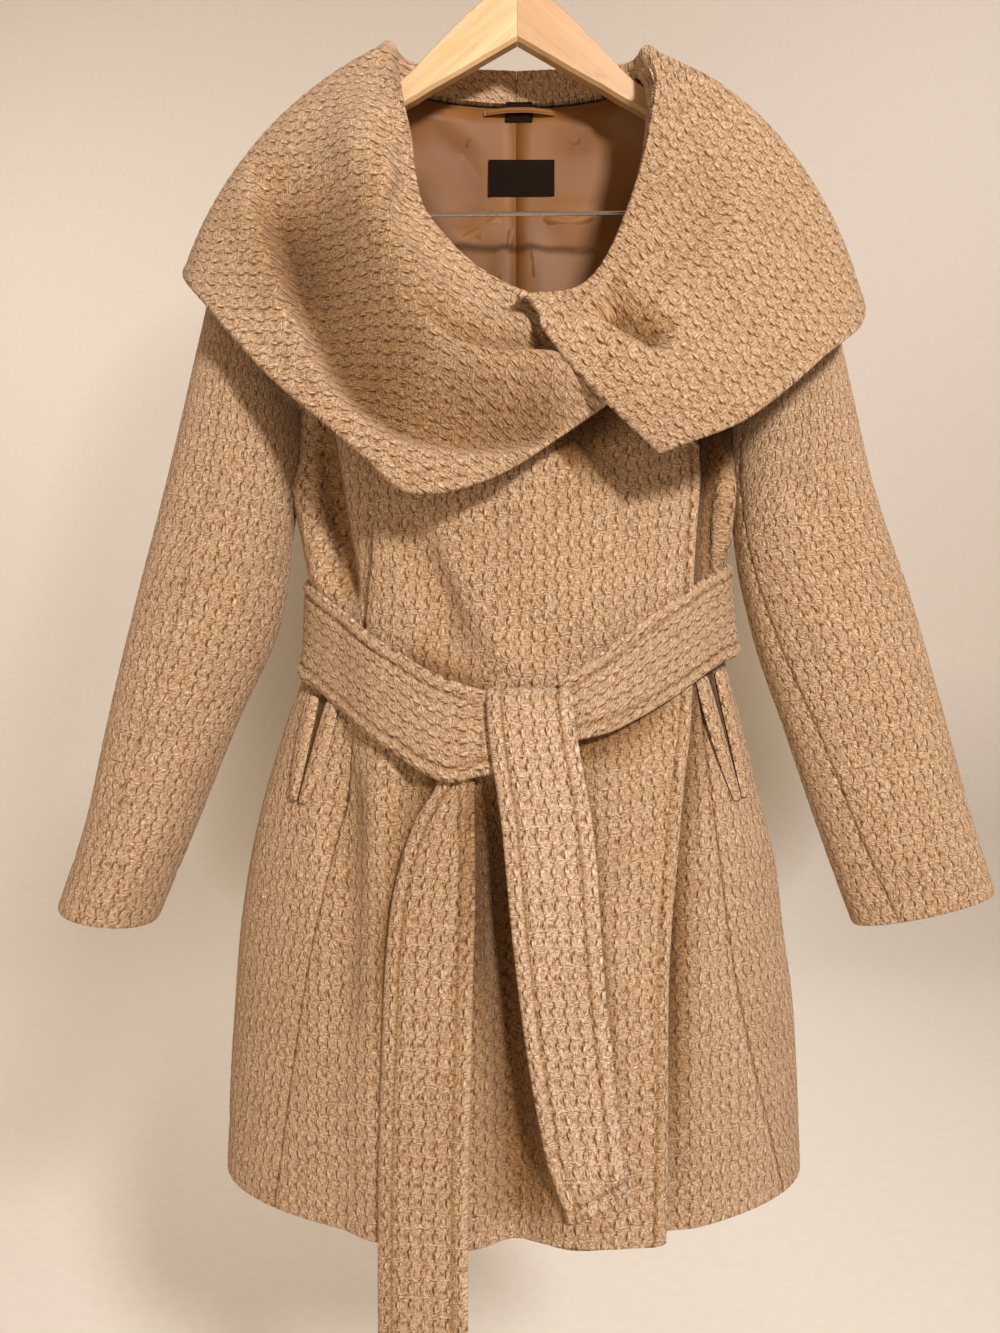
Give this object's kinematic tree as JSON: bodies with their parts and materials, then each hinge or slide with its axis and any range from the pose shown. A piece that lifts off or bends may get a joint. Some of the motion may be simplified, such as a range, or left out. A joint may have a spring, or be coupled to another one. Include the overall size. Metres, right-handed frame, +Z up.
{
  "type": "belted wrap coat on a wooden hanger",
  "caption": "Woven wool-look wrap coat with a wide cape collar and a knotted sash belt, hanging flat on a wooden hanger with a trouser bar and hook.",
  "frame": {"origin": "Underside of the hook's crown, where a rail carries the hanger.", "axes": "+Z up, -Y out of the coat's front, +X to the right of a person facing the coat."},
  "size_m": [0.701, 0.176, 1.104],
  "materials": {
    "wool": "camel wool-look cloth in a raised barleycorn weave",
    "satin": "brown satin lining",
    "label": "bare dark woven label",
    "beech": "pale natural wood, clear matt lacquer",
    "steel": "polished steel"
  },
  "bodies": {
    "root": {"back_left": "wool", "back_right": "wool", "front_over_centre": "wool", "front_over_side": "wool", "front_under_centre": "wool", "front_under_side": "wool", "sleeve_left_upper": "wool", "sleeve_left_under": "wool", "sleeve_right_upper": "wool", "sleeve_right_under": "wool", "collar_left": "wool", "collar_right": "wool", "belt_back": "wool", "belt_left": "wool", "belt_right": "wool", "belt_tail_front": "wool", "belt_tail_long": "wool", "welt_left_front": "wool", "welt_left_back": "wool", "welt_right_front": "wool", "welt_right_back": "wool", "lining_back_left": "satin", "lining_back_right": "satin", "hang_loop": "satin", "neck_label": "label", "size_tab": "label", "hanger_arm_left": "beech", "hanger_arm_right": "beech", "hanger_bar": "steel", "hanger_hook": "steel"}
  },
  "joints": []
}
